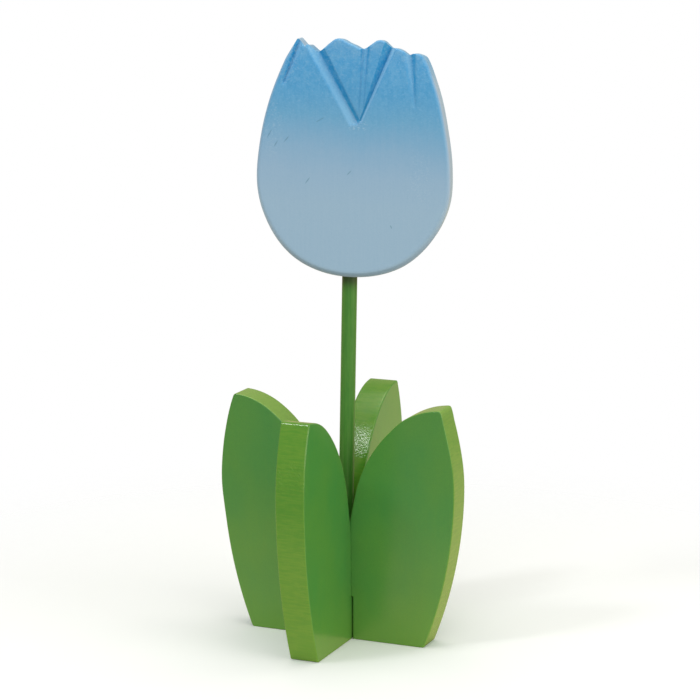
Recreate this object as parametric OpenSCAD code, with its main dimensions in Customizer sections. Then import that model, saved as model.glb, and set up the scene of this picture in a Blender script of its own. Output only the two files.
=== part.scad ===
// Wooden tulip ornament: a carved blossom board on a dowel stem, which stands in two
// leaf boards that cross in a halved joint. Millimetres, Z up, resting on Z = 0.
// X runs along the side leaves, Y runs back along the cross leaves.

/* [Leaf boards] */
// Thickness of both leaf boards
board_t = 16; // [12:0.5:20]
// Width of a leaf pair where it stands
foot_w = 100; // [80:1:120]
// Width of a leaf pair at its widest
leaf_span = 134; // [126:1:160]
// Height of the widest place of the leaves
leaf_wide_z = 88; // [70:1:100]
// Height of the leaf tips
leaf_h = 129; // [120:1:145]
// Half-distance from the middle to the outer corner of a leaf tip
tip_reach = 59; // [56:0.5:61]
// Radius of the inner edge near the leaf tip
tip_r = 37.5; // [34:0.5:42]
// Radius of the inner edge below that
inner_r = 71.5; // [69:0.5:78]
// Angle from level of the radius line on which these two arcs meet
inner_bend = 53; // [49:1:57]
// Lean of the straight flanks at the bottom of the fork
fork_flank = 12; // [11:0.5:16]
// Radius of the bottom of the fork
fork_root_r = 4; // [3:0.5:5]

/* [Halved joint] */
// Height at which the two boards sit on each other
lap_z = 23.5; // [18:0.5:30]
// Play on each side of the slot in the side leaves, open below
low_slot_play = 0.6; // [0.1:0.1:1]
// Play on each side of the slot in the cross leaves, open above
top_slot_play = 0.1; // [0.1:0.1:0.5]
// Distance of the crossing to the right of the middle of the side leaves
joint_x = 0.75; // [0:0.25:3]
// Distance of the crossing behind the middle of the cross leaves
joint_y = 1.75; // [0:0.25:3]

/* [Stem] */
// Diameter of the dowel
stem_d = 8; // [6:0.5:9]
// Gap all round the glued dowel in its holes
glue_gap = 0.05; // [0.05:0.05:0.2]
// Depth of the dowel in the lower leaf board, below the halved joint
stem_socket = 14; // [10:1:16]
// Depth of the dowel in the blossom
blossom_socket = 22; // [12:1:35]
// Chamfer on both ends of the dowel
stem_chamfer = 1; // [0.5:0.25:1.5]

/* [Blossom] */
// Height of the blossom's lowest point above the ground, along the stem
blossom_z = 195.6; // [180:0.2:220]
// Height of the blossom
blossom_h = 123.8; // [110:0.2:135]
// Width of the blossom
blossom_w = 100.8; // [90:0.2:112]
// Thickness of the blossom board
blossom_t = 16; // [13:0.5:20]
// Height of the blossom's widest place above its lowest point
blossom_wide_z = 51.4; // [45:0.2:60]
// Fullness of the round lower half, where 2 is an ellipse
fullness = 2.12; // [2:0.02:2.4]
// Radius of both sides above the widest place
side_r = 138; // [120:1:180]
// Radius of the rounded edges
edge_r = 2.2; // [1:0.2:3]

/* [Carving] */
// Depth of the two slanting grooves at the top edge
arm_depth = 3.2; // [2:0.2:4.5]
// Depth of the two slanting grooves where they meet
arm_end_depth = 2.2; // [1:0.2:3]
// Depth to which the middle petals sink where the two grooves meet
panel_sink = 1.4; // [0.4:0.2:2]
// Depth of the narrow grooves at the top edge
vein_depth = 2; // [1:0.2:3]
// Distance of the meeting point of the grooves below the blossom's top
apex_drop = 43.5; // [30:0.5:55]
// Distance of the meeting point to the right of the middle
apex_x = 2.6; // [-5:0.2:5]

/* [Hand assembly] */
// Turn of the blossom on the stem, seen from above
blossom_turn = 15; // [0:0.5:45]
// Lean of the glued stem, towards the blossom's right
stem_lean = 1.15; // [0:0.05:2]
// Distance of the blossom's middle to the right of its hole
hole_offset = 1.9; // [0:0.1:5]

/* [Hidden] */
$fn = 96;
half_t = board_t / 2;
half_span = leaf_span / 2;
// A cutter passes the face that it opens by this much
over = 5;

// Where two arcs run into each other, one disc stands out of the other by this much
arc_bite = 0.1;
// Leaf outline: the two outer arcs stand upright at the widest place
foot_in = half_span - foot_w / 2 - arc_bite;
tip_in = half_span - tip_reach;
tip_rise = leaf_h - leaf_wide_z;
low_r = (foot_in * foot_in + leaf_wide_z * leaf_wide_z) / (2 * foot_in);
top_r = (tip_in * tip_in + tip_rise * tip_rise) / (2 * tip_in);
// Inner edge: its top arc is almost level at the outer corner of the tip
level_lead = 1.2;
level_x = tip_reach + level_lead;
level_z = leaf_h - tip_r;
bend_z = level_z + tip_r * sin(inner_bend);
inner_x = level_x + (inner_r - tip_r + arc_bite) * cos(inner_bend);
inner_z = level_z - (inner_r - tip_r + arc_bite) * sin(inner_bend);
flank_x = inner_x - inner_r * cos(fork_flank);
flank_z = inner_z + inner_r * sin(fork_flank);
// The fork's round bottom touches both flanks
root_z = flank_z + (fork_root_r - flank_x * cos(fork_flank)) / sin(fork_flank);
root_x = fork_root_r * cos(fork_flank);
root_top = root_z - fork_root_r * sin(fork_flank);

// Stem ends and the blossom's corner values
stem_bottom = lap_z - stem_socket;
stem_top = blossom_z + blossom_socket;
half_w = blossom_w / 2;
face_y = -blossom_t / 2;
// Steps of the blossom's outline: around the lower half, and degrees along each side
low_steps = 48;
side_step = 3;
// The uncut bud ends in a point this much above the top
bud_over = 30;
// The crown's cutter ends this far from the middle
crown_end = 60;
// The cut crown, from left to right: across from the middle, and drop below the top
crown = [
    [-crown_end, -1.2], [-29.3, -1.2], [-26.6, 4.3], [-24.6, 3.2], [-19.3, 7.4], [-8.6, -0.3],
    [-3.9, 2], [4.2, 5.1], [13.4, 0], [18.7, 4.1], [20.8, 4.4], [27.8, 7.8], [31.2, 6.5],
    [35.6, 8.2], [crown_end, 30]
];
// Carved lines, in the same measure: the two slanting grooves end here at the crown
left_arm = [-20.5, 6];
right_arm = [19, 3];
// The sunk middle petals begin this far out at the crown
panel_half = 20.5;
panel_drop = 4;
// Narrow grooves, each from its lower end to the crown
veins = [[[3, 37], [5.5, 5]], [[-36.8, 22], [-28.9, 2]], [[31.8, 32], [29.5, 8]]];
// How far an arm's deepest line keeps from the meeting point
left_arm_shift = [-2, 0];
right_arm_shift = [1, 3];
// Opening of a groove's flank for each millimetre of depth
wide_flank = 1.5;
plain_flank = 1;
steep_flank = 0.9;
// Length of a carving cutter's flanks beyond its deepest point
carve_reach = 12;

function side_point(a) = [half_w - side_r + side_r * cos(a), blossom_wide_z + side_r * sin(a)];
function low_point(a) = [
    half_w * sign(cos(a)) * pow(abs(cos(a)), 2 / fullness),
    blossom_wide_z - blossom_wide_z * pow(abs(sin(a)), 2 / fullness)
];
function mirrored(p) = [-p[0], p[1]];
// Point below the blossom's top, in the blossom's own frame
function below_top(p) = [p[0], blossom_h - p[1]];

// Lens between two outer arcs of one radius, which reach half its width at the widest place
module outer_lens(r, reach) {
    intersection() {
        translate([reach - r, leaf_wide_z]) circle(r = r);
        translate([r - reach, leaf_wide_z]) circle(r = r);
    }
}

// What the saw takes out between the two leaves
module fork_opening() {
    translate([0, root_z]) circle(r = fork_root_r);
    difference() {
        polygon([
            [-root_x, root_top], [root_x, root_top], [flank_x + arc_bite, flank_z],
            [inner_x, flank_z], [inner_x, leaf_h + over], [-inner_x, leaf_h + over],
            [-inner_x, flank_z], [-flank_x - arc_bite, flank_z]
        ]);
        for (side = [-1, 1]) translate([side * inner_x, inner_z]) circle(r = inner_r);
    }
    difference() {
        translate([-half_span, bend_z]) square([leaf_span, leaf_h + over - bend_z]);
        for (side = [-1, 1]) translate([side * level_x, level_z]) circle(r = tip_r);
    }
}

// The whole outline of a leaf pair, with its fork
module leaf_pair_outline() {
    difference() {
        union() {
            intersection() {
                outer_lens(low_r, half_span - arc_bite);
                translate([-leaf_span, 0]) square([2 * leaf_span, leaf_wide_z]);
            }
            intersection() {
                outer_lens(top_r, half_span);
                translate([-leaf_span, leaf_wide_z - tip_rise])
                    square([2 * leaf_span, 2 * tip_rise]);
            }
        }
        fork_opening();
    }
}

// Everything on the stem stands over the crossing, and leans and turns with the stem
module on_stem() {
    translate([joint_x, joint_y, 0]) rotate([0, 0, blossom_turn]) rotate([0, stem_lean, 0])
        children();
}

// Hole for the dowel, from its foot up past the fork's round bottom
module stem_hole() {
    on_stem() translate([0, 0, stem_bottom])
        cylinder(d = stem_d + 2 * glue_gap, h = flank_z - stem_bottom);
}

// Leaf pair whose outline lies in the XZ plane, centred on Y = 0
module leaf_board() {
    rotate([90, 0, 0]) translate([0, 0, -half_t])
        linear_extrude(height = board_t) leaf_pair_outline();
}

// Left and right leaves, slotted from below over the cross leaves
module side_leaves() {
    slot = board_t + 2 * low_slot_play;
    color("forestgreen") difference() {
        translate([0, joint_y, 0]) leaf_board();
        translate([joint_x - slot / 2, joint_y - board_t, -over])
            cube([slot, 2 * board_t, lap_z + over]);
        stem_hole();
    }
}

// Front and back leaves, slotted from above
module cross_leaves() {
    slot = board_t + 2 * top_slot_play;
    color("limegreen") difference() {
        translate([joint_x, 0, 0]) rotate([0, 0, 90]) leaf_board();
        translate([joint_x - board_t, joint_y - slot / 2, lap_z])
            cube([2 * board_t, slot, leaf_h]);
        stem_hole();
    }
}

// Dowel, glued through the side leaves into the cross leaves, and into the blossom
module stem() {
    length = stem_top - stem_bottom;
    tip_d = stem_d - 2 * stem_chamfer;
    color("green") on_stem() translate([0, 0, stem_bottom]) {
        cylinder(d1 = tip_d, d2 = stem_d, h = stem_chamfer);
        translate([0, 0, stem_chamfer]) cylinder(d = stem_d, h = length - 2 * stem_chamfer);
        translate([0, 0, length - stem_chamfer])
            cylinder(d1 = stem_d, d2 = tip_d, h = stem_chamfer);
    }
}

// Bud outline: round below, two long arcs above that lean together
module bud_outline() {
    top_angle = asin((blossom_h - blossom_wide_z) / side_r) + side_step;
    side_angles = [for (a = [0:side_step:top_angle]) a];
    last = len(side_angles) - 1;
    polygon([
        for (i = [0:low_steps]) low_point(180 * i / low_steps),
        for (a = side_angles) mirrored(side_point(a)),
        [0, blossom_h + bud_over],
        for (i = [0:last - 1]) side_point(side_angles[last - i])
    ]);
}

// Bud outline with its petal tips sawn in the top
module blossom_outline() {
    difference() {
        bud_outline();
        polygon([
            for (p = crown) below_top(p),
            [crown_end, blossom_h + 2 * bud_over], [-crown_end, blossom_h + 2 * bud_over]
        ]);
    }
}

// Cutter for a carved groove in the front face, from its lower end up past the top edge.
// low and high are points on the face. The flanks open by left and right for each
// millimetre of depth.
module groove(low, high, low_depth, high_depth, left, right) {
    run = norm(high - low);
    along = atan2(high[0] - low[0], high[1] - low[1]);
    dip = atan2(high_depth - low_depth, run);
    translate([low[0], face_y + low_depth, low[1]]) rotate([0, along, 0]) rotate([-dip, 0, 0])
        linear_extrude(height = run + over) polygon([
            [0, 0], [-left * carve_reach, -carve_reach], [right * carve_reach, -carve_reach]
        ]);
}

// Wedge taken off the middle petals, so that they sink between the two slanting grooves
module panel_wedge(apex) {
    left_top = below_top([-panel_half, panel_drop]);
    right_top = below_top([panel_half, panel_drop]);
    intersection() {
        rotate([90, 0, 0]) translate([0, 0, -blossom_t / 2])
            linear_extrude(height = blossom_t + over) polygon([apex, left_top, right_top]);
        rotate([90, 0, 90]) translate([0, 0, -half_w]) linear_extrude(height = blossom_w)
            polygon([
                [face_y - over, apex[1]], [face_y + panel_sink, apex[1]],
                [face_y, left_top[1]], [face_y - over, left_top[1]]
            ]);
    }
}

// Solid blossom with all its edges rounded
module blossom_blank() {
    rotate([90, 0, 0]) translate([0, 0, edge_r - blossom_t / 2]) minkowski() {
        linear_extrude(height = blossom_t - 2 * edge_r) offset(delta = -edge_r) blossom_outline();
        sphere(r = edge_r, $fn = 16);
    }
}

// Everything that the knife takes out of the front face
module carving() {
    apex = below_top([apex_x, apex_drop]);
    panel_wedge(apex);
    groove(apex + left_arm_shift, below_top(left_arm), arm_end_depth, arm_depth,
        wide_flank, steep_flank);
    groove(apex + right_arm_shift, below_top(right_arm), arm_end_depth, arm_depth,
        steep_flank, plain_flank);
    for (v = veins)
        groove(below_top(v[0]), below_top(v[1]), 0, vein_depth, plain_flank, steep_flank);
}

// Carved blossom board, glued on the dowel
module blossom() {
    color("skyblue") on_stem() difference() {
        translate([hole_offset, 0, blossom_z]) difference() {
            blossom_blank();
            carving();
        }
        cylinder(d = stem_d + 2 * glue_gap, h = stem_top);
    }
}

side_leaves();
cross_leaves();
stem();
blossom();
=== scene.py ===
import math

import bpy
import numpy as np
from mathutils import Matrix, Vector


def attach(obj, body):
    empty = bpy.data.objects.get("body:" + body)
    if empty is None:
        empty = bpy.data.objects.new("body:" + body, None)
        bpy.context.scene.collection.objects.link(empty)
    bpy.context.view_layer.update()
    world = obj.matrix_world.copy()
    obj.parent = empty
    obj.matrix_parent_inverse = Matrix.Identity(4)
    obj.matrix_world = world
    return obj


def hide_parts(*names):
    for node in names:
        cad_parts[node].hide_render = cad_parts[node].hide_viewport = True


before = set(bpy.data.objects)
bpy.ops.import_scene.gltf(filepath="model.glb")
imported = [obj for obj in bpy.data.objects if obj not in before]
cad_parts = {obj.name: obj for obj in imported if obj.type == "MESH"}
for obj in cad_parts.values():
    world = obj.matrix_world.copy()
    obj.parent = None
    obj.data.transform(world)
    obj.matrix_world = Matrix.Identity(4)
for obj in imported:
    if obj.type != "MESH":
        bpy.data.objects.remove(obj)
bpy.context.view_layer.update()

# Leaf boards. Each is one fork-shaped board of 16 mm wood, sawn out as a left and a right leaf
# and sanded so that its edges are only just eased. One is slotted from below and one from
# above, and they cross at a right angle in a glued halved joint.
MM = 0.001
BOARD, EASED = 16.0, 0.6
# Half width of a leaf pair and the height at which it is widest, half width of its foot, and
# the outer corner of a tip
HALF_SPAN, WIDE_Z = 67.0, 88.0
FOOT_HALF, TIP_X, TIP_Z = 50.0, 59.0, 129.0
# Radii of the outer arcs from the widest place down to the foot and up to the tip
FOOT_R = ((HALF_SPAN - FOOT_HALF) ** 2 + WIDE_Z ** 2) / (2 * (HALF_SPAN - FOOT_HALF))
TOP_R = ((HALF_SPAN - TIP_X) ** 2 + (TIP_Z - WIDE_Z) ** 2) / (2 * (HALF_SPAN - TIP_X))
# Centre and radius of the inner arcs, and the angles at which they and the flank meet
TIP_ARC = ((60.2, 91.5), 37.5)
FORK_ARC = ((80.66, 64.35), 71.5)
FORK_ROOT = ((0.0, 48.0), 4.0)
FLANK_ANGLE, BEND_ANGLE, TIP_ANGLE = 12.0, 53.0, 86.6
# Height on which the boards meet, and the crossing to the right of and behind their middles
LAP_Z, CROSSING = 23.5, (0.75, 1.75)
# Half widths of the two slots, which have more play below the lap than above it
LOW_SLOT, TOP_SLOT = 8.6, 8.1
# The outer path ends below the tip's corner, and the top row bulges to it by a share of the way
OUTER_TOP, TIP_BULGE = TIP_Z - 1.05, 0.37
# The inner path strays with the outer one above these heights
TIP_STRAY = 114, 124
# Width of the outermost strip of a face, wear of the foot's corner, and how far past the
# eased edge the grids of the faces begin
EDGE_STRIP, FOOT_WEAR, MARGIN = 0.7, (-0.2, 0.2), EASED + 0.2
FACE_COLUMNS, ROUND_STEPS = 15, 5
# Rows of the outer paths: from this height to that, in so many even steps
SIDE_ROWS = [(0, 0.7, 2), (2, LAP_Z, 13), (25, 31, 5), (32.5, 46, 11), (47, 52, 8), (54, 84, 15),
             (85, 112, 30), (113, OUTER_TOP, 17)]
CROSS_ROWS = [(0, 0.7, 2), (2, 17, 13), (18.5, LAP_Z, 5), (25.5, 68, 21), (70, 84, 7),
              (85, 112, 30), (113, OUTER_TOP, 17)]
# Creases sharper than this stay sharp
CREASE = math.radians(35)


def arc(shape, first, last, count):
    """Points of an arc in a plane: its centre plus radius times cosine and sine of even angles."""
    (x, z), radius = shape
    angle = np.radians(np.linspace(first, last, count))
    return np.stack([x + radius * np.cos(angle), z + radius * np.sin(angle)], axis=-1)


def line(start, end, count):
    """Evenly spaced points from start to end."""
    return np.asarray(start) + np.linspace(0, 1, count)[:, None] * np.subtract(end, start)


def joined(*parts):
    """One path from parts that begin where the part before them ends."""
    return np.concatenate([parts[0]] + [part[1:] for part in parts[1:]])


def step(low, high, value):
    """Smooth step from 0 at low to 1 at high: three times the square less twice the cube."""
    share = np.clip((value - low) / (high - low), 0, 1)
    return share * share * (3 - 2 * share)


def hump(value, middle, width):
    """Bell curve of height 1 about middle."""
    return np.exp(-((value - middle) / width) ** 2 / 2)


def leaf_half(inner, rises, sideways):
    """Inner and outer path of one leaf. The outer one follows two arcs that stand upright at
    the widest place: x is the half span, less the radius, plus the root of the radius squared
    less the height squared. sideways is how far this leaf's own outline strays at a height."""
    radius = np.where(rises < WIDE_Z, FOOT_R, TOP_R)
    across = HALF_SPAN - radius + np.sqrt(radius ** 2 - (rises - WIDE_Z) ** 2)
    outer = np.stack([across + sideways(rises), rises], axis=-1)
    inner = inner.copy()
    inner[:, 0] += sideways(inner[:, 1]) * step(*TIP_STRAY, inner[:, 1])
    return inner, outer


def sawn_board(halves, to_space):
    """Closed board between inner and outer paths, given for the two leaves of the board.
    The faces are grids: inner point plus a share of the way to the outer point of its row.
    The edge is a profile carried round the outline, moved in along each corner's bisector by
    the radius times one less sine, and back by the radius times one less cosine."""
    shares = np.append(np.linspace(0, 1 - EDGE_STRIP / FOOT_HALF, FACE_COLUMNS), 1.0)
    sides = []
    for sign, (inner, outer) in zip((1, -1), halves):
        grid = inner[:, None] + shares[:, None] * (outer - inner)[:, None]
        tip = np.array([TIP_X, TIP_Z]) - (inner[-1] + outer[-1]) / 2
        grid[-1] += (4 * shares * (1 - shares))[:, None] * TIP_BULGE * tip
        grid[0, -1] += FOOT_WEAR
        sides.append(grid * (sign, 1))
    grid = np.stack(sides)
    flat, ids = np.unique(grid.reshape(-1, 2).round(4), axis=0, return_inverse=True)
    ids = ids.reshape(grid.shape[:3])
    faces = np.stack([ids[:, :-1, :-1], ids[:, :-1, 1:], ids[:, 1:, 1:], ids[:, 1:, :-1]], -1)
    faces[1] = faces[1, ..., ::-1]
    faces = faces.reshape(-1, 4)

    # Outline: the edges that only one face has, with the mean of their two inward normals
    edges = np.concatenate([faces[:, [k, (k + 1) % 4]] for k in range(4)])
    count = len(flat)
    lonely = ~np.isin(edges[:, 1] * count + edges[:, 0], edges[:, 0] * count + edges[:, 1])
    start, end = edges[lonely].T
    along = flat[end] - flat[start]
    inward = np.stack([-along[:, 1], along[:, 0]], -1) / np.linalg.norm(along, axis=1)[:, None]
    after, before = np.zeros_like(flat), np.zeros_like(flat)
    after[start], before[end] = inward, inward
    both = (after * before).sum(axis=1)
    mitre = (after + before) / (1 + both)[:, None]

    grid = grid + MARGIN * mitre[ids]
    row = grid[:, :, :1] + shares[:, None] * (grid[:, :, -1:] - grid[:, :, :1])
    grid[:, 1:-1, 1:-1] = row[:, 1:-1, 1:-1]
    face = flat.copy()
    face[ids] = grid
    turn = np.radians(np.linspace(0, 90, ROUND_STEPS))
    insets = np.concatenate([EASED * (1 - np.sin(turn)), [0.0]])
    depths = np.concatenate([EASED * (1 - np.cos(turn)), [MARGIN]])
    insets = np.concatenate([insets, insets[::-1]])
    depths = np.concatenate([depths, BOARD - depths[::-1]])
    rim = flat[start] + insets[:, None, None] * mitre[start]
    rank = np.zeros(count, int)
    rank[start] = np.arange(len(start))
    first = 2 * count + len(start) * np.arange(len(insets))[:, None]
    layers = np.concatenate([start[None], first + rank[start], count + start[None]])
    layers_end = np.concatenate([end[None], first + rank[end], count + end[None]])
    strips = np.stack([layers_end[:-1], layers[:-1], layers[1:], layers_end[1:]], -1)
    plane = np.concatenate([face, face, rim.reshape(-1, 2)])
    back = np.concatenate([np.zeros(count), np.full(count, BOARD), np.repeat(depths, len(start))])
    points = to_space(plane[:, 0], back - BOARD / 2, plane[:, 1])
    quads = np.concatenate([faces, faces[:, ::-1] + count, strips.reshape(-1, 4)])
    return points, quads


def closed_mesh(name, points, quads, triangles=()):
    """Mesh from points in millimetres. It is turned inside out if its volume, the sum of the
    corners' triple products, is below zero."""
    corners = points[quads]
    volume = np.einsum("ij,ij->i", corners[:, 0], np.cross(corners[:, 1], corners[:, 2]))
    volume += np.einsum("ij,ij->i", corners[:, 0], np.cross(corners[:, 2], corners[:, 3]))
    faces = quads.tolist() + [list(face) for face in triangles]
    if volume.sum() < 0:
        faces = [face[::-1] for face in faces]
    mesh = bpy.data.meshes.new(name)
    mesh.from_pydata((points * MM).tolist(), [], faces)
    mesh.validate()
    mesh.shade_smooth()
    mesh.set_sharp_from_angle(angle=CREASE)
    return mesh


def new_piece(name, mesh, nodes):
    """Object of a mesh that rides on the ornament in place of these nodes."""
    piece = bpy.data.objects.new(name, mesh)
    bpy.context.scene.collection.objects.link(piece)
    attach(piece, "root")
    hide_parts(*nodes)
    return piece


class Shade:
    """A shader socket. Arithmetic on it adds Math nodes, and node() adds any other node."""

    def __init__(self, tree, socket=None):
        self.tree, self.socket = tree, socket

    def node(self, kind, settings=None, inputs=None, output=0):
        """Adds a node of this type: settings first, then values or links of its sockets."""
        new = self.tree.nodes.new(kind)
        for key, value in (settings or {}).items():
            if key == "stops":
                while len(new.color_ramp.elements) < len(value):
                    new.color_ramp.elements.new(0.5)
                for stop, (place, colour) in zip(new.color_ramp.elements, value):
                    stop.position, stop.color = place, colour
            else:
                setattr(new, key, value)
        for key, value in (inputs or {}).items():
            if isinstance(value, Shade):
                self.tree.links.new(value.socket, new.inputs[key])
            else:
                new.inputs[key].default_value = value
        return Shade(self.tree, new.outputs[output])

    def math(self, operation, *values):
        return self.node("ShaderNodeMath", {"operation": operation}, dict(enumerate(values)))

    def __add__(self, other): return self.math("ADD", self, other)
    def __sub__(self, other): return self.math("SUBTRACT", self, other)
    def __mul__(self, other): return self.math("MULTIPLY", self, other)
    def __truediv__(self, other): return self.math("DIVIDE", self, other)
    def __rsub__(self, other): return self.math("SUBTRACT", other, self)
    def __pow__(self, other): return self.math("POWER", self, other)
    def __abs__(self): return self.math("ABSOLUTE", self)
    __radd__ = __add__
    __rmul__ = __mul__

    def dot(self, direction):
        return self.node("ShaderNodeVectorMath", {"operation": "DOT_PRODUCT"},
                         {0: self, 1: direction}, "Value")

    def between(self, low, high):
        """Smooth step of this value from 0 at low to 1 at high."""
        settings = {"interpolation_type": "SMOOTHSTEP"}
        return self.node("ShaderNodeMapRange", settings,
                         {"Value": self, "From Min": low, "From Max": high})

    def blend(self, first, second, kind="MIX"):
        """Colour first where this is 0 and second where it is 1."""
        settings = {"data_type": "RGBA", "blend_type": kind}
        return self.node("ShaderNodeMix", settings, {0: self, 6: first, 7: second}, 2)

    def grain(self, spacing, detail=2.0, rough=0.5):
        """Noise of this position in millimetres, stretched to a spacing along each axis."""
        scale = tuple(1 / value for value in spacing)
        placed = self.node("ShaderNodeMapping", None, {"Vector": self, "Scale": scale})
        return self.node("ShaderNodeTexNoise", None,
                         {"Vector": placed, "Scale": 1.0, "Detail": detail, "Roughness": rough})


def colour(red, green, blue):
    """Linear colour from the 0 to 255 values of a screen."""
    parts = np.array([red, green, blue]) / 255
    parts = np.where(parts > 0.04045, ((parts + 0.055) / 1.055) ** 2.4, parts / 12.92)
    return (*parts.tolist(), 1.0)


def paint(name):
    """New material: its principled shader's sockets, and the position on it in millimetres."""
    material = bpy.data.materials.new(name)
    material.use_nodes = True
    tree = material.node_tree
    start = Shade(tree)
    place = start.node("ShaderNodeTexCoord", None, None, "Object")
    scaled = place.node("ShaderNodeVectorMath", {"operation": "SCALE"},
                        {0: place, "Scale": 1 / MM})
    return material, tree, tree.nodes["Principled BSDF"].inputs, scaled


# Greens of the leaves: on the faces two that drift, one in the grain and one in fine specks;
# on the sawn edges two across the grain, their pale specks, and a lighter one where they face up,
# which is painted top light; and a yellower one towards the ground, which is painted bounce light
COOL_GREEN, WARM_GREEN = colour(66, 136, 64), colour(80, 140, 59)
GRAIN_GREEN, SPECK_GREEN = colour(74, 139, 61), colour(54, 114, 58)
SAWN_GREEN, SAWN_YELLOW = colour(75, 136, 39), colour(92, 143, 44)
PALE_SPECK, TOP_LIGHT_GREEN = colour(150, 180, 100), colour(130, 170, 78)
FLOOR_BOUNCE_GREEN = colour(110, 160, 68)
# Heights between which the coat on the edges is uneven, and the painted bounce light at the foot
# fades out
TIPS_LOW, TIPS_HIGH, BOUNCE_FADE = (91, 98), (107, 114), (-12, 36)
# Height of the paint's relief
LEAF_RELIEF = 0.14 * MM


def leaf_paint(name, board_axis, edge_rough, ripple, top_light):
    """Satin green over wood: smooth on the board's faces, and a thinner, yellower coat with the
    marks of the saw across it on the sawn edges, whose normals lie across the board's axis.
    Those edges are rougher by edge_rough, ripple is the height of the uneven coat on them
    under the tips, and top_light is how much they are painted lighter where they face up, as
    painted top light."""
    material, tree, shader, place = paint(name)
    normal = place.node("ShaderNodeNewGeometry", None, None, "Normal")
    edge = 1 - abs(normal.dot(board_axis)).between(0.7, 0.93)
    fibre = place.grain((1.3, 1.3, 30.0))
    cloud = place.grain((30.0, 30.0, 48.0))
    mottle = place.grain((3.2, 3.2, 4.0), detail=4.0, rough=0.6)
    saw = place.grain((9.0, 9.0, 0.9), detail=3.0, rough=0.6)
    dust = place.grain((0.5, 0.5, 0.45), rough=0.7)
    chatter = place.grain((1.6, 1.6, 1.1), rough=0.6)
    rise = place.dot((0, 0, 1))
    tips = rise.between(*TIPS_LOW) * (1 - rise.between(*TIPS_HIGH))
    tone = 0.5 * fibre + 0.5 * mottle
    face = cloud.between(0.36, 0.66).blend(COOL_GREEN, WARM_GREEN)
    face = (tone.between(0.34, 0.68) * 0.6).blend(face, GRAIN_GREEN)
    face = (dust.between(0.35, 0.65) * 0.2).blend(face, SPECK_GREEN)
    cross_grain = 0.75 * saw + 0.25 * mottle
    sawn = cross_grain.between(0.34, 0.68).blend(SAWN_GREEN, SAWN_YELLOW)
    sawn = (dust.between(0.68, 0.8) * 0.3).blend(sawn, PALE_SPECK)
    # Sawn edges that face up are painted lighter: painted top light
    sawn = (top_light * normal.dot((0, 0, 1)).between(0.02, 0.5)).blend(sawn, TOP_LIGHT_GREEN)
    green = edge.blend(face, sawn)
    # Painted bounce light: lighter and yellower towards the ground, for the warm light the floor
    # throws up
    green = (0.56 * (1 - rise.between(*BOUNCE_FADE))).blend(green, FLOOR_BOUNCE_GREEN)
    tree.links.new(green.socket, shader["Base Color"])
    rough = 0.15 + 0.1 * tone + edge_rough * edge
    tree.links.new(rough.socket, shader["Roughness"])
    height = 0.12 * tone + 0.1 * dust + edge * (0.45 * saw + ripple * tips * chatter)
    bump = height.node("ShaderNodeBump", None,
                       {"Height": height, "Distance": LEAF_RELIEF, "Strength": 0.8})
    tree.links.new(bump.socket, shader["Normal"])
    shader["Specular IOR Level"].default_value = 0.65
    return material


# Paths from the foot of a leaf to its tip. The last number of each arc and line is its count
# of points, and together they are as many as the rows of the outer path.
tip_path = joined(arc(FORK_ARC, 180 - FLANK_ANGLE, 180 - BEND_ANGLE, 31),
                  arc(TIP_ARC, 180 - BEND_ANGLE, 180 - TIP_ANGLE, 18))
flank_top = tip_path[0]
flank_low = arc(FORK_ROOT, -90, -FLANK_ANGLE, 9)
fork_bottom = FORK_ROOT[0][1] - FORK_ROOT[1]


def side_inner(slot):
    """Inner path of a side leaf: up the slot's wall at this distance from the middle and back
    to the middle on the lap, through the wood to the fork's round bottom, and up a flank."""
    return joined(line((slot, 0), (slot, LAP_Z), 15), line((slot, LAP_Z), (0, LAP_Z), 6),
                  line((0, LAP_Z), (0, fork_bottom), 12), flank_low,
                  line(flank_low[-1], flank_top, 16), tip_path)


def cross_inner(slot):
    """Inner path of a front or back leaf: up the middle to the lap, out along it to the slot's
    wall at this distance from the middle, and up the wall until it meets the flank."""
    rise = flank_top[1] - (flank_top[0] - slot) / math.tan(math.radians(FLANK_ANGLE))
    return joined(line((0, 0), (0, LAP_Z), 15), line((0, LAP_Z), (slot, LAP_Z), 6),
                  line((slot, LAP_Z), (slot, rise), 22), line((slot, rise), flank_top, 8),
                  tip_path)


# The left leaf strays out near its widest place and at its tip, the right one in below its tip
side_rises = np.concatenate([np.linspace(*rows) for rows in SIDE_ROWS])
left_leaf = leaf_half(side_inner(LOW_SLOT - CROSSING[0]), side_rises,
                      lambda z: 0.75 * hump(z, 80, 9) + 0.5 * step(108, 129, z))
right_leaf = leaf_half(side_inner(LOW_SLOT + CROSSING[0]), side_rises,
                       lambda z: -0.9 * hump(z, 112, 14) * (1 - step(120, 129, z)))
points, quads = sawn_board([right_leaf, left_leaf],
                           lambda u, v, z: np.stack([u, CROSSING[1] + v, z], -1))
side_leaves = new_piece("side_leaf_board", closed_mesh("side_leaf_board", points, quads),
                        ["side_leaves"])
side_leaves.data.materials.append(
    leaf_paint("side_leaf_green", (0, 1, 0), edge_rough=0.05, ripple=0.3, top_light=0.5))

cross_rises = np.concatenate([np.linspace(*rows) for rows in CROSS_ROWS])
back_leaf, front_leaf = (leaf_half(cross_inner(slot), cross_rises, lambda z: 0 * z)
                         for slot in (TOP_SLOT + CROSSING[1], TOP_SLOT - CROSSING[1]))
points, quads = sawn_board([back_leaf, front_leaf],
                           lambda u, v, z: np.stack([CROSSING[0] + v, u, z], -1))
cross_leaves = new_piece("cross_leaf_board", closed_mesh("cross_leaf_board", points, quads),
                         ["cross_leaves"])
cross_leaves.data.materials.append(
    leaf_paint("cross_leaf_green", (1, 0, 0), edge_rough=-0.03, ripple=2.4, top_light=0.0))

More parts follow.
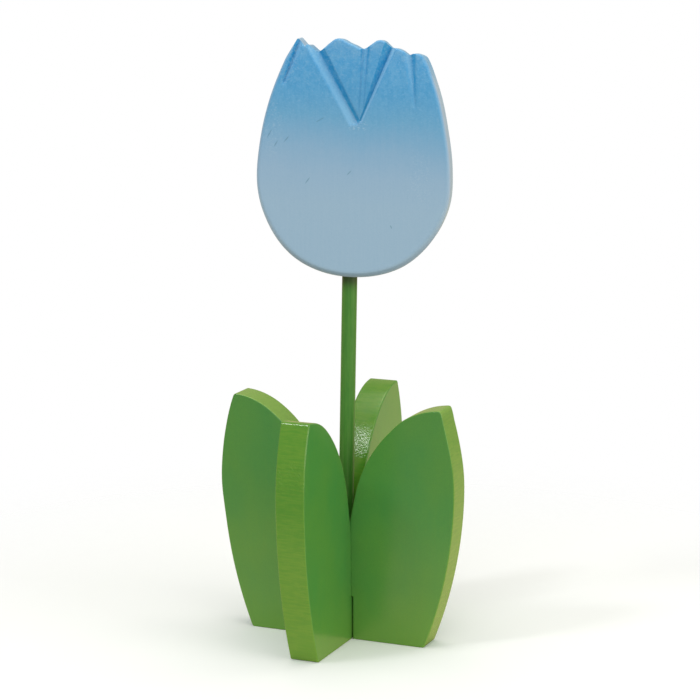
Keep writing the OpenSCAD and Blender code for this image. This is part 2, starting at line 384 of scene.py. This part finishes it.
# Stem. A wooden dowel of 8 mm, painted green like the leaves, with chamfered ends. It is glued
# through the side leaves into the cross leaves, leans a little to the blossom's right, and
# ends in a blind hole in the blossom.
STEM_R, CHAMFER, GLUE_GAP = 4.0, 1.0, 0.05
STEM_LOW, STEM_TOP = 9.5, 217.6
STEM_ROWS, ROUND_SIDES = 60, 64
# A drill starts or ends this far outside the wood that it bores
DRILL_PAST = 5
# Two greens in the grain, and the dark one to which they turn up to the blossom's foot, which is
# painted shade under the blossom
DEEP_GREEN, LIGHT_GREEN, STEM_SHADE_GREEN = colour(60, 121, 45), colour(71, 129, 50), colour(40, 66, 28)
SHADE_RUN = 184, 194.5
STEM_RELIEF = 0.05 * MM
# The blossom's turn on the stem and the stem's lean, and the directions that they give: up
# along the stem, to the blossom's right and to its back
TURN, LEAN = math.radians(15), math.radians(1.15)
ALONG = np.array([math.sin(LEAN) * math.cos(TURN), math.sin(LEAN) * math.sin(TURN),
                  math.cos(LEAN)])
RIGHT = np.array([math.cos(LEAN) * math.cos(TURN), math.cos(LEAN) * math.sin(TURN),
                  -math.sin(LEAN)])
BEHIND = np.array([-math.sin(TURN), math.cos(TURN), 0.0])
STEM_FOOT = np.array([*CROSSING, 0.0])


def on_stem(right, behind, along):
    """Position from the leaning stem's own frame: the crossing's foot plus each measure times
    its direction, to the right, to the back and up along the stem."""
    parts = [np.asarray(part, float)[..., None] for part in (right, behind, along)]
    return STEM_FOOT + parts[0] * RIGHT + parts[1] * BEHIND + parts[2] * ALONG


def revolved(radii, heights, segments, to_space):
    """Profile of radii and heights turned about an upright axis: radius times cosine and sine
    of even angles. The first and last radius are 0, and each is one point with a fan."""
    angle = np.linspace(0, 2 * math.pi, segments, endpoint=False)
    radii, heights = np.asarray(radii), np.asarray(heights)
    across = radii[1:-1, None] * np.cos(angle), radii[1:-1, None] * np.sin(angle)
    rise = np.repeat(heights[1:-1, None], segments, axis=1)
    points = to_space(*(part.ravel() for part in (*across, rise)))
    poles = to_space(np.zeros(2), np.zeros(2), heights[[0, -1]])
    ids = np.arange(len(points)).reshape(-1, segments)
    after = np.roll(ids, -1, axis=1)
    quads = np.stack([ids[:-1], after[:-1], after[1:], ids[1:]], -1).reshape(-1, 4)
    low, high = len(points), len(points) + 1
    fans = np.concatenate([
        np.stack([after[0], ids[0], np.full(segments, low)], -1),
        np.stack([ids[-1], after[-1], np.full(segments, high)], -1)])
    return np.concatenate([points, poles]), quads, fans.tolist()


stem_rows = np.linspace(STEM_LOW + CHAMFER, STEM_TOP - CHAMFER, STEM_ROWS)
inset = STEM_R - CHAMFER
points, quads, fans = revolved(
    [0, inset, *np.full(STEM_ROWS, STEM_R), inset, 0],
    [STEM_LOW, STEM_LOW, *stem_rows, STEM_TOP, STEM_TOP], ROUND_SIDES, on_stem)
stem = new_piece("stem_dowel", closed_mesh("stem_dowel", points, quads, fans),
                 ["stem"])


def drilled(piece, low, high):
    """Bores the dowel's hole into a piece, from one height along the stem to another: it is a
    cylinder with the glue's gap added to the dowel's radius. The drill has the piece's paint,
    so that the bored mesh keeps a single material."""
    radius = STEM_R + GLUE_GAP
    cylinder = revolved([0, radius, radius, 0], [low, low, high, high], ROUND_SIDES, on_stem)
    drill = bpy.data.objects.new("drill", closed_mesh("drill", *cylinder))
    drill.data.materials.append(piece.data.materials[0])
    bpy.context.scene.collection.objects.link(drill)
    bore = piece.modifiers.new("bore", "BOOLEAN")
    bore.operation, bore.solver, bore.object = "DIFFERENCE", "MANIFOLD", drill
    seen = piece.evaluated_get(bpy.context.evaluated_depsgraph_get())
    mesh = bpy.data.meshes.new_from_object(seen)
    piece.modifiers.clear()
    mesh.shade_smooth()
    mesh.set_sharp_from_angle(angle=CREASE)
    piece.data = mesh
    bpy.data.objects.remove(drill)


drilled(side_leaves, LAP_Z - DRILL_PAST, FORK_ROOT[0][1] + FORK_ROOT[1])
drilled(cross_leaves, STEM_LOW, LAP_Z + DRILL_PAST)

material, tree, shader, place = paint("stem_green")
fibre = place.grain((0.7, 0.7, 34.0), detail=3.0)
mottle = place.grain((2.4, 2.4, 6.0), detail=4.0, rough=0.6)
tone = 0.65 * fibre + 0.35 * mottle
green = tone.between(0.38, 0.62).blend(DEEP_GREEN, LIGHT_GREEN)
# Painted shade: the stem turns dark just under the blossom
painted_shade = place.dot(tuple(ALONG)).between(*SHADE_RUN) ** 2.0
green = painted_shade.blend(green, STEM_SHADE_GREEN)
tree.links.new(green.socket, shader["Base Color"])
tree.links.new((0.33 + 0.14 * tone).socket, shader["Roughness"])
shader["Specular IOR Level"].default_value = 0.35
bump = tone.node("ShaderNodeBump", None,
                 {"Height": tone, "Distance": STEM_RELIEF, "Strength": 0.8})
tree.links.new(bump.socket, shader["Normal"])
stem.data.materials.append(material)

# Blossom. A 16 mm board sawn to a closed tulip, with its edges rounded by sanding, petal tips
# sawn in the top and the petals' lines cut with a knife. It is painted a pale grey blue all
# over, with a stronger blue sprayed down from the top of its faces, and glued on the dowel.
# From here on a place on the board is its distance to the right of the middle, and its height
# above the blossom's foot. The middle is to the right of the stem by the axis shift.
BLOSSOM_LOW, AXIS_SHIFT = 195.6, 1.9
# Half width, height of the widest place, power of the round lower half, radius of both sides
HALF_W, WIDEST = 50.4, 51.4
FULLNESS, SIDE_R = 2.12, 138.0
# Points of a side below and above its widest place. It is worked out up to this far above
# that place, and then cut off this far below the crown's end.
LOW_POINTS, HIGH_POINTS, SIDE_RISE, CROWN_ROOM = 500, 400, 62, 1.5
# Humps by which each side strays from this outline: size, height and width
RIGHT_STRAYS = [(-0.4, 76, 9), (0.45, 103, 9), (0.7, 113, 5), (0.35, 39, 7), (0.6, 5, 4)]
LEFT_STRAYS = [(-0.5, 27, 8), (0.3, 54, 7), (0.3, 8, 4), (0.45, 119, 6)]
# Place inside from which the rows of both faces spread out like rays
STAR = (0.0, 70.0)
# Widths of the worn edge, the heights between which it grows to that of the foot, and the
# power that shapes it
FOOT_EDGE, SIDE_EDGE, CROWN_EDGE, EDGE_POWER = 3.0, 1.6, 0.9, 1.4
FOOT_HEIGHTS = 8, 48
# The sawn crown falls by this much from the front of the board to its back
CROWN_DROP = 1.15
# Sawn crown, from right to left, how widely its corners are worn round, and the even spacing
# of the outline's points
CROWN = np.array([
    (35.7, 115.0), (34.6, 116.2), (33.0, 117.0), (31.1, 117.2), (29.4, 116.9), (27.9, 116.0),
    (26.6, 116.9), (24.6, 118.4), (22.4, 119.4), (20.4, 119.7), (18.7, 119.6), (16.9, 121.2),
    (15.2, 122.9), (13.4, 123.7), (11.2, 123.3), (8.6, 121.4), (6.2, 119.5), (4.2, 118.7),
    (2.2, 119.1), (-0.4, 120.6), (-3.9, 121.9), (-6.3, 123.3), (-8.5, 124.0), (-10.6, 123.4),
    (-13.4, 121.2), (-16.9, 118.0), (-19.3, 116.4), (-21.4, 117.8), (-24.6, 120.5),
    (-26.4, 119.6), (-28.3, 121.8), (-30.0, 123.4)])
CROWN_WEAR, SPACING = 0.45, 0.1
# Directions from the star between which the crown lies, and how far inside them it is full
CROWN_FROM, CROWN_TO = math.radians(49), math.radians(122)
CROWN_NEAR, CROWN_FULL = 0.02, 0.1
CROWN_RAYS, BUD_RAYS = 310, 240
# Distances of a face's outermost rows from the rim, and rows from there to the star
EDGE_ROWS = np.array([0, 0.06, 0.16, 0.3, 0.48, 0.7, 0.96, 1.28, 1.66, 2.1, 2.6, 3.3, 4.2])
FRONT_ROWS, BACK_ROWS, WALL_ROWS = 66, 26, 9
# The two slanting cuts from the place where they meet up to the crown, and their lengths
LEFT_ARM, RIGHT_ARM = ((1.1, 81.6), (-20.0, 118.6)), ((3.4, 82.0), (18.9, 120.0))
LEFT_LENGTH, RIGHT_LENGTH = 44, 41
# Every cut: its low and high end, its depth there, the widths of its left and right flank for
# each millimetre of depth, its side that faces down, and whether it sinks with the petals
CUTS = [(*LEFT_ARM, (3.0, 3.1), (1.42, 1.3), 1, 0),
        (*RIGHT_ARM, (1.8, 3.2), (1.4, 0.75), -1.8, 0),
        ((2.2, 84), (4.0, 119), (0.25, 0.9), (1.9, 1.1), -1, 1),
        ((4.2, 84), (6.4, 119), (0.2, 0.9), (1.1, 1.9), 1, 1),
        ((-36.9, 100.6), (-29.0, 122), (1.4, 2.5), (0.85, 1.2), -1, 0),
        ((31.6, 89.5), (29.0, 116), (0.5, 2.0), (1.9, 1.3), 1, 0)]
# A cut's bottom is blunt by the root of this, and it runs out at this slope past its low end
BLUNT, RUN_OUT = 0.012, 1.3
# The middle petals sink by this at the meeting place and by nothing at this height, over this
# distance, and their step at the slanting cuts is so wide
SINK, SINK_TOP, SINK_RUN, SINK_STEP = 1.4, 119.8, 39.5, (-0.2, 1.2)
# The paint of a cut's walls blends over this distance across it, and over this depth
ACROSS_BLEND, DEPTH_BLEND = 0.35, 0.7


def smoothed(path, width):
    """Path at even spacing, averaged along itself with a bell curve, with its ends kept."""
    run = np.append(0, np.cumsum(np.linalg.norm(np.diff(path, axis=0), axis=1)))
    even = np.arange(0, run[-1], SPACING)
    path = np.stack([np.interp(even, run, path[:, k]) for k in (0, 1)], -1)
    reach = int(4 * width / SPACING)
    weights = hump(np.arange(-reach, reach + 1) * SPACING, 0, width)
    weights /= weights.sum()
    ends = [np.repeat(path[:1], reach, axis=0), path, np.repeat(path[-1:], reach, axis=0)]
    padded = np.concatenate(ends)
    return np.stack([np.convolve(padded[:, k], weights, "valid") for k in (0, 1)], -1)


def bud_side(sign, strays):
    """One side of the bud, from its foot up to the crown: below the widest place a superellipse,
    whose across is the half width times a power of the sine, and above it an arc."""
    angle = np.linspace(0, math.pi / 2, LOW_POINTS)
    power = 2 / FULLNESS
    low = np.stack([HALF_W * np.sin(angle) ** power,
                    WIDEST - WIDEST * np.cos(angle) ** power], -1)
    rise = np.linspace(0, SIDE_RISE, HIGH_POINTS)[1:]
    side = np.stack([HALF_W - SIDE_R + np.sqrt(SIDE_R ** 2 - rise ** 2), WIDEST + rise], -1)
    path = np.concatenate([low, side])
    path[:, 0] += sum(size * hump(path[:, 1], *where) for size, *where in strays)
    path = path[path[:, 0] > 0]
    top = CROWN[0 if sign > 0 else -1]
    path = path[path[:, 1] < top[1] - CROWN_ROOM]
    return path * (sign, 1)


right_side, left_side = bud_side(1, RIGHT_STRAYS), bud_side(-1, LEFT_STRAYS)
outline = np.concatenate([right_side, CROWN, left_side[::-1], right_side[:1]])
outline = smoothed(outline, CROWN_WEAR)

# Even steps of angle about a point inside, finer under the sawn crown
turns = np.unwrap(np.arctan2(outline[:, 1] - STAR[1], outline[:, 0] - STAR[0]))
reach = np.hypot(outline[:, 0] - STAR[0], outline[:, 1] - STAR[1])
order = np.argsort(turns)
angles = np.concatenate([
    np.linspace(CROWN_FROM, CROWN_TO, CROWN_RAYS, endpoint=False),
    np.linspace(CROWN_TO, CROWN_FROM + 2 * math.pi, BUD_RAYS, endpoint=False)])
radius = np.interp(angles, turns[order], reach[order], period=2 * math.pi)
outward = np.stack([np.cos(angles), np.sin(angles)], -1)
rim = STAR + radius[:, None] * outward


def rim_distance(points, rim):
    """Shortest distance of each point to an outline, over all of its straight pieces. It is
    worked out for a batch of points at a time, which keeps the arrays small."""
    batch = 2000
    nearest = np.full(len(points), np.inf)
    start, ahead = rim, np.roll(rim, -1, axis=0) - rim
    length = (ahead ** 2).sum(axis=1)
    for part in np.array_split(np.arange(len(points)), max(1, len(points) // batch)):
        gap = points[part, None] - start
        share = np.clip((gap * ahead).sum(-1) / length, 0, 1)
        nearest[part] = np.linalg.norm(gap - share[..., None] * ahead, axis=-1).min(axis=1)
    return nearest


def groove(points, low, high, depths, flanks):
    """Depth of a V-shaped cut: its own depth along the line from low to high, less the distance
    to one side over that flank's width for each millimetre, less its slope past the low end.
    It also gives the distance to the side, which is above 0 to the right of the line."""
    low, high = np.asarray(low), np.asarray(high)
    run = np.linalg.norm(high - low)
    ahead = (high - low) / run
    gap = points - low
    along = gap @ ahead
    aside = gap @ np.array([ahead[1], -ahead[0]])
    depth = depths[0] + (depths[1] - depths[0]) * along / run
    wall = np.where(aside < 0, -aside / flanks[0], aside / flanks[1])
    bottom = np.sqrt(wall ** 2 + BLUNT)
    return depth - bottom - RUN_OUT * np.maximum(-along, 0), aside


def carved(points):
    """Depth of the face below its plane: the deepest of all cuts, where the middle petals sink
    evenly towards the meeting point of the two slanting grooves. It also gives two numbers for
    the paint: one above 0 on the walls of a cut that face down and below 0 on the others, and
    one that grows to 1 where the middle petals have sunk in."""
    (left_low, left_high), (right_low, right_high) = np.array(LEFT_ARM), np.array(RIGHT_ARM)
    within = np.minimum(
        np.cross(points - left_low, left_high - left_low) / LEFT_LENGTH,
        np.cross(right_high - right_low, points - right_low) / RIGHT_LENGTH)
    sink = SINK * np.clip((SINK_TOP - points[:, 1]) / SINK_RUN, 0, 1) * step(*SINK_STEP, within)
    depths, walls = [], []
    for low, high, ends, flanks, down, sinks in CUTS:
        depth, aside = groove(points, low, high, ends, flanks)
        depths.append(depth + sinks * sink)
        walls.append(down * np.tanh(aside / ACROSS_BLEND))
    deepest = np.max(depths, axis=0)
    wall = np.take_along_axis(np.array(walls), np.argmax(depths, axis=0)[None], axis=0)[0]
    wall *= np.clip((deepest - sink) / DEPTH_BLEND, 0, 1)
    return np.maximum(deepest, sink), wall, sink / SINK


def bevelled(points, rim, edge):
    """Depth by which an edge falls back, between a chamfer and a round: its width less the root
    of its width less what is missing of that width to the rim, both raised to a power."""
    missing = np.clip(edge - rim_distance(points, rim), 0, edge)
    return edge - (edge ** EDGE_POWER - missing ** EDGE_POWER) ** (1 / EDGE_POWER)


def face_rows(radius, rows):
    """Points of a face, ray by ray in each row: the star point plus the radius less the edge
    rows' distances, and then even shares of what is left, along each direction."""
    shares = np.linspace(1, 0, rows)[1:-1, None]
    reach = np.concatenate([radius - EDGE_ROWS[:, None], shares * (radius - EDGE_ROWS[-1])])
    return (STAR + reach[..., None] * outward).reshape(-1, 2)


crown_share = step(CROWN_FROM + CROWN_NEAR, CROWN_FROM + CROWN_FULL, angles) * (
    1 - step(CROWN_TO - CROWN_FULL, CROWN_TO - CROWN_NEAR, angles))
edge = SIDE_EDGE + (CROWN_EDGE - SIDE_EDGE) * crown_share
edge += (FOOT_EDGE - SIDE_EDGE) * (1 - step(*FOOT_HEIGHTS, rim[:, 1]))
count = len(angles)
front = face_rows(radius, FRONT_ROWS)
back = face_rows(radius - CROWN_DROP * crown_share, BACK_ROWS)
back_rim = back[:count]
depth, knife_wall, sunk = carved(front)
front_y = np.maximum(bevelled(front, rim, np.tile(edge, len(front) // count)), depth) - BOARD / 2
back_y = BOARD / 2 - bevelled(back, back_rim, np.tile(edge, len(back) // count))

# All rows from the front's innermost over the walls to the back's, and the two middle points
shares = np.linspace(0, 1, WALL_ROWS)[1:-1, None]
wall_y = front_y[:count] + shares * (back_y[:count] - front_y[:count])
rows = [front[::-1].reshape(-1, count, 2)[:, ::-1], rim + shares[..., None] * (back_rim - rim),
        back.reshape(-1, count, 2)]
plane = np.concatenate(rows).reshape(-1, 2)
across = np.concatenate([front_y.reshape(-1, count)[::-1].ravel(), wall_y.ravel(), back_y])
knife_wall, sunk = (
    np.append(part.reshape(-1, count)[::-1], np.zeros(len(across) - len(part) + 2))
    for part in (knife_wall, sunk))
middle = carved(np.array([STAR]))[0]
plane = np.concatenate([plane, [STAR, STAR]])
across = np.concatenate([across, middle - BOARD / 2, [BOARD / 2]])
points = on_stem(plane[:, 0] + AXIS_SHIFT, across, plane[:, 1] + BLOSSOM_LOW)
ids = np.arange(len(points) - 2).reshape(-1, count)
after = np.roll(ids, -1, axis=1)
quads = np.stack([ids[:-1], after[:-1], after[1:], ids[1:]], -1).reshape(-1, 4)
poles = np.full(count, len(points) - 2), np.full(count, len(points) - 1)
fans = np.concatenate([np.stack([after[0], ids[0], poles[0]], -1),
                       np.stack([ids[-1], after[-1], poles[1]], -1)]).tolist()
mesh = closed_mesh("blossom_board", points, quads, fans)
for name, values in (("knife_wall", knife_wall), ("sunk", sunk)):
    mesh.attributes.new(name, "FLOAT", "POINT").data.foreach_set("value", values)
blossom = new_piece("blossom_board", mesh, ["blossom"])

# Colours along the spray, from the pale foot to the crown, where it lies a little thinner
OMBRE = [(0.31, (146, 178, 206)), (0.43, (141, 175, 206)), (0.53, (129, 170, 205)),
         (0.66, (97, 160, 204)), (0.76, (74, 153, 207)), (0.88, (72, 155, 213)),
         (0.96, (89, 159, 213))]
# The whole run of the spray, the height at which it starts below the foot, and its slant
SPRAY_RUN, SPRAY_LOW, SPRAY_SLANT = 130, 2.5, 0.06
# The pale coat; the painted shade of the sunk petals; the tint of walls that face down, which is
# partly a deeper blue in the cuts and partly painted shade; and the painted shade of the underside
PALE, SUNK_SHADE = colour(162, 185, 212), colour(205, 240, 248)
DOWN_WALL_BLUE_AND_SHADE, UNDERSIDE_SHADE = colour(112, 234, 247), colour(216, 219, 228)
# Painted light on walls that face up, worn specks, pits, cloudy streaks near the top, pale fibres,
# scratches
LIT_WALL, WORN, PIT = colour(160, 210, 240), colour(190, 212, 226), colour(52, 118, 168)
STREAK, FIBRE, SCRATCH = colour(145, 196, 226), colour(215, 228, 236), colour(84, 128, 158)
# Worn places and the one where the cuts meet: place, half width and half height
PATCHES = [(35, 53, 9, 17), (-43, 76, 7, 18), (-36, 112, 9, 15)]
MEETING = 2, 79.5, 6, 4
# Short scratches: place, slant in degrees, half length, and the half width of all
SCRATCHES = [(-23.7, 50.3, 55, 2.6), (-2.0, 55.0, 48, 2.0), (20.4, 27.6, -65, 1.2),
             (-44.0, 74.0, 62, 3.2), (-40.5, 69.0, 60, 2.4), (-35.0, 71.5, 52, 2.6),
             (-17.5, 82.0, 30, 3.0)]
SCRATCH_WIDTH = 0.4
BLOSSOM_RELIEF = 0.1 * MM


def oval(across, up, fade):
    """1 in a round place, falling to 0 where the squares of both distances add up to 1."""
    return (1 - (across ** 2.0 + up ** 2.0)).between(0, fade)


material, tree, shader, place = paint("blossom_blue")
moved = place.node("ShaderNodeVectorMath", {"operation": "SUBTRACT"},
                   {0: place, 1: tuple(STEM_FOOT)})
right, rise = moved.dot(tuple(RIGHT)) - AXIS_SHIFT, moved.dot(tuple(ALONG)) - BLOSSOM_LOW
normal = place.node("ShaderNodeNewGeometry", None, None, "Normal")
wall = place.node("ShaderNodeAttribute", {"attribute_name": "knife_wall"}, None, "Fac")
sunk = place.node("ShaderNodeAttribute", {"attribute_name": "sunk"}, None, "Fac")
facing = abs(normal.dot(tuple(BEHIND))).between(0.3, 0.99)
facing = facing.math("MAXIMUM", facing, (abs(wall) + 0.3 * sunk).between(0.02, 0.2))
under = (-1 * normal.dot((0, 0, 1))).between(0.2, 0.65)
fibre = place.grain((0.8, 0.8, 22.0), detail=3.0)
mottle = place.grain((2.6, 2.6, 3.4), detail=4.0, rough=0.6)
cloud = place.grain((24.0, 24.0, 30.0))
speckle = place.grain((1.1, 1.1, 0.8), detail=3.0, rough=0.65)
drift = 8 * (cloud - 0.5) + 5 * (mottle - 0.5)
spray = (SPRAY_LOW + rise + SPRAY_SLANT * right + drift) / SPRAY_RUN
ombre = spray.node("ShaderNodeValToRGB",
                   {"stops": [(share, colour(*tone)) for share, tone in OMBRE]}, {"Fac": spray})
# The sides and the crown's walls carry the pale coat, and only some of the spray near the top,
# least of it at the left end of the crown
sprayed = rise.between(100, 112) * (0.65 - 0.5 * (-22 - right).between(0, 3))
base = facing.blend(sprayed.blend(PALE, ombre), ombre)
# Painted shade in the sunk middle petals, deepest where they sink most
base = (0.6 * sunk).blend(base, SUNK_SHADE, "MULTIPLY")
# Walls of the cuts that face down: partly a deeper blue in the cut, partly painted shade
base = wall.between(0.1, 0.9).blend(base, DOWN_WALL_BLUE_AND_SHADE, "MULTIPLY")
# Walls of the cuts that face up are painted lighter: painted light
base = ((-1 * wall).between(0.1, 1.9) * 0.46).blend(base, LIT_WALL)
# Painted shade on the underside: faces that look down are darker
base = under.blend(base, UNDERSIDE_SHADE, "MULTIPLY")
# Worn specks are more towards the top, in the worn patches, and where the cuts meet
front = (-1 * normal.dot(tuple(BEHIND))).between(0, 0.2)
patch, meeting = (sum(oval((right - x) / half_x, (rise - z) / half_z, 0.8)
                      for x, z, half_x, half_z in places) for places in (PATCHES, [MEETING]))
top = rise.between(60, 120)
worn = speckle.between(0.5, 0.72) * (
    0.03 + 0.13 * top + front * (0.16 * patch + 0.45 * meeting))
base = worn.blend(base, WORN)
pits = (1 - speckle).between(0.5, 0.72) * (0.05 + 0.2 * top)
base = pits.blend(base, PIT)
base = (0.18 * top * mottle.between(0.4, 0.65)).blend(base, STREAK)
base = (0.02 * fibre.between(0.3, 0.7)).blend(base, FIBRE)
for x, z, slant, half in SCRATCHES:
    turn = math.radians(slant)
    along = (math.cos(turn) * (right - x) + math.sin(turn) * (rise - z)) / half
    aside = (math.cos(turn) * (rise - z) - math.sin(turn) * (right - x)) / SCRATCH_WIDTH
    mark = front * oval(along, aside, 0.9)
    base = (0.6 * mark * speckle.between(0.3, 0.5)).blend(base, SCRATCH)
tree.links.new(base.socket, shader["Base Color"])
tree.links.new((0.4 + 0.2 * mottle).socket, shader["Roughness"])
shader["Specular IOR Level"].default_value = 0.25
height = 0.03 * fibre + 0.3 * mottle + (0.15 + 0.5 * top) * speckle
bump = height.node("ShaderNodeBump", None,
                   {"Height": height, "Distance": BLOSSOM_RELIEF, "Strength": 0.6})
tree.links.new(bump.socket, shader["Normal"])
blossom.data.materials.append(material)
drilled(blossom, BLOSSOM_LOW - DRILL_PAST, STEM_TOP)

# Studio. A plain pale floor and a white surround as in a light tent, with a wide lamp above
# and weaker ones in front and to the right. The floor throws back light as a warm wooden table
# does, whose front edge is near. To the camera it is white, and fades into the surround.
FLOOR_SIZE = 8
# The table as it throws light back and as it is mirrored, under the ornament and past its
# front edge, and between which distances to the front it falls off
TABLE, PAST_TABLE = (1.0, 0.86, 0.6, 1), (0.62, 0.57, 0.5, 1)
MIRRORED_TABLE, PAST_MIRRORED = (1.0, 0.86, 0.45, 1), (0.36, 0.34, 0.28, 1)
TABLE_EDGE = 110, 320
# The floor to the camera, and the distances between which it fades into the surround
SEEN_FLOOR, FADE = (0.95, 0.965, 1, 1), (150, 420)
WHITE = 1, 1, 1, 1
# The surround as it lights the ornament and as it is mirrored: its tint and its strength, and
# what is added for a mirrored ray and for the camera
TENT, MIRRORED_TENT = (0.98, 1.0, 1.03, 1), (1.0, 0.9, 0.5, 1)
TENT_LIGHT, MIRRORED_MORE, SEEN_MORE = 0.38, 0.22, 0.62
# The lamps light this point, in metres like their places. Each: size, power, place and tint.
AIM = 0, 0, 0.16
LAMPS = {"key": (0.25, 4.0, (-0.66, -0.9, 1.25), (1, 1, 1)),
         "tent_top": (1.4, 16, (0.1, 0.0, 1.6), (1.0, 0.96, 0.78)),
         "tent_front": (1.0, 7.3, (0.25, -1.8, 0.7), (1.0, 0.99, 0.98)),
         "tent_right": (1.0, 8.7, (1.55, -0.2, 0.5), (1.0, 0.96, 0.92))}

bpy.ops.mesh.primitive_plane_add(size=FLOOR_SIZE, location=(0, 0, 0))
floor = bpy.context.object
floor.name = "studio_floor"
material, tree, shader, place = paint("floor_white")
seen = place.node("ShaderNodeLightPath", None, None, "Is Camera Ray")
mirrored = place.node("ShaderNodeLightPath", None, None, "Is Glossy Ray")
dim = place.dot((0, -1, 0)).between(*TABLE_EDGE)
table = mirrored.blend(dim.blend(TABLE, PAST_TABLE), dim.blend(MIRRORED_TABLE, PAST_MIRRORED))
floor_colour = seen.blend(table, SEEN_FLOOR)
tree.links.new(floor_colour.socket, shader["Base Color"])
shader["Roughness"].default_value = 0.9
shader["Specular IOR Level"].default_value = 0.0
away = place.node("ShaderNodeVectorMath", {"operation": "LENGTH"}, {0: place}, "Value")
clear = seen * away.between(*FADE)
surface = seen.node("ShaderNodeMixShader", None, {
    0: clear, 1: Shade(tree, tree.nodes["Principled BSDF"].outputs[0]),
    2: seen.node("ShaderNodeBsdfTransparent")})
tree.links.new(surface.socket, tree.nodes["Material Output"].inputs["Surface"])
floor.data.materials.append(material)

for name, (size, power, place, tint) in LAMPS.items():
    light = bpy.data.lights.new(name, "AREA")
    light.size, light.energy, light.color = size, power, tint
    source = bpy.data.objects.new(name, light)
    source.location = place
    direction = Vector(AIM) - Vector(place)
    source.rotation_euler = direction.to_track_quat("-Z", "Y").to_euler()
    source.visible_camera = False
    bpy.context.scene.collection.objects.link(source)

world = bpy.data.worlds.new("light_tent")
bpy.context.scene.world = world
world.use_nodes = True
tree = world.node_tree
seen = Shade(tree).node("ShaderNodeLightPath", None, None, "Is Camera Ray")
mirrored = seen.node("ShaderNodeLightPath", None, None, "Is Glossy Ray")
strength = TENT_LIGHT + SEEN_MORE * seen + MIRRORED_MORE * mirrored
tent = seen.blend(mirrored.blend(TENT, MIRRORED_TENT), WHITE)
tree.links.new(tent.socket, tree.nodes["Background"].inputs["Color"])
tree.links.new(strength.socket, tree.nodes["Background"].inputs["Strength"])

# Camera, at the photograph's angle: 23 degrees to the right of the side leaves' front and
# 11 degrees above them, a long lens 1.29 m away.
AROUND, ABOVE, ROLL = math.radians(23.28), math.radians(11.14), math.radians(-0.22)
DISTANCE, TARGET = 1.28918, np.array([0.00433, 0.00320, 0.15562])
SENSOR, FOCAL = 36.0, 125.71
toward = np.array([math.sin(AROUND) * math.cos(ABOVE), -math.cos(AROUND) * math.cos(ABOVE),
                   math.sin(ABOVE)])
level = np.array([math.cos(AROUND), math.sin(AROUND), 0.0])
upright = np.cross(toward, level)
camera_right = math.cos(ROLL) * level + math.sin(ROLL) * upright
camera_up = math.cos(ROLL) * upright - math.sin(ROLL) * level
lens = bpy.data.cameras.new("camera")
lens.sensor_width, lens.lens = SENSOR, FOCAL
camera = bpy.data.objects.new("camera", lens)
pose = np.eye(4)
pose[:3, 0], pose[:3, 1], pose[:3, 2] = camera_right, camera_up, toward
pose[:3, 3] = TARGET + DISTANCE * toward
camera.matrix_world = Matrix(pose.tolist())
bpy.context.scene.collection.objects.link(camera)
bpy.context.scene.camera = camera
bpy.context.scene.view_settings.view_transform = "Standard"
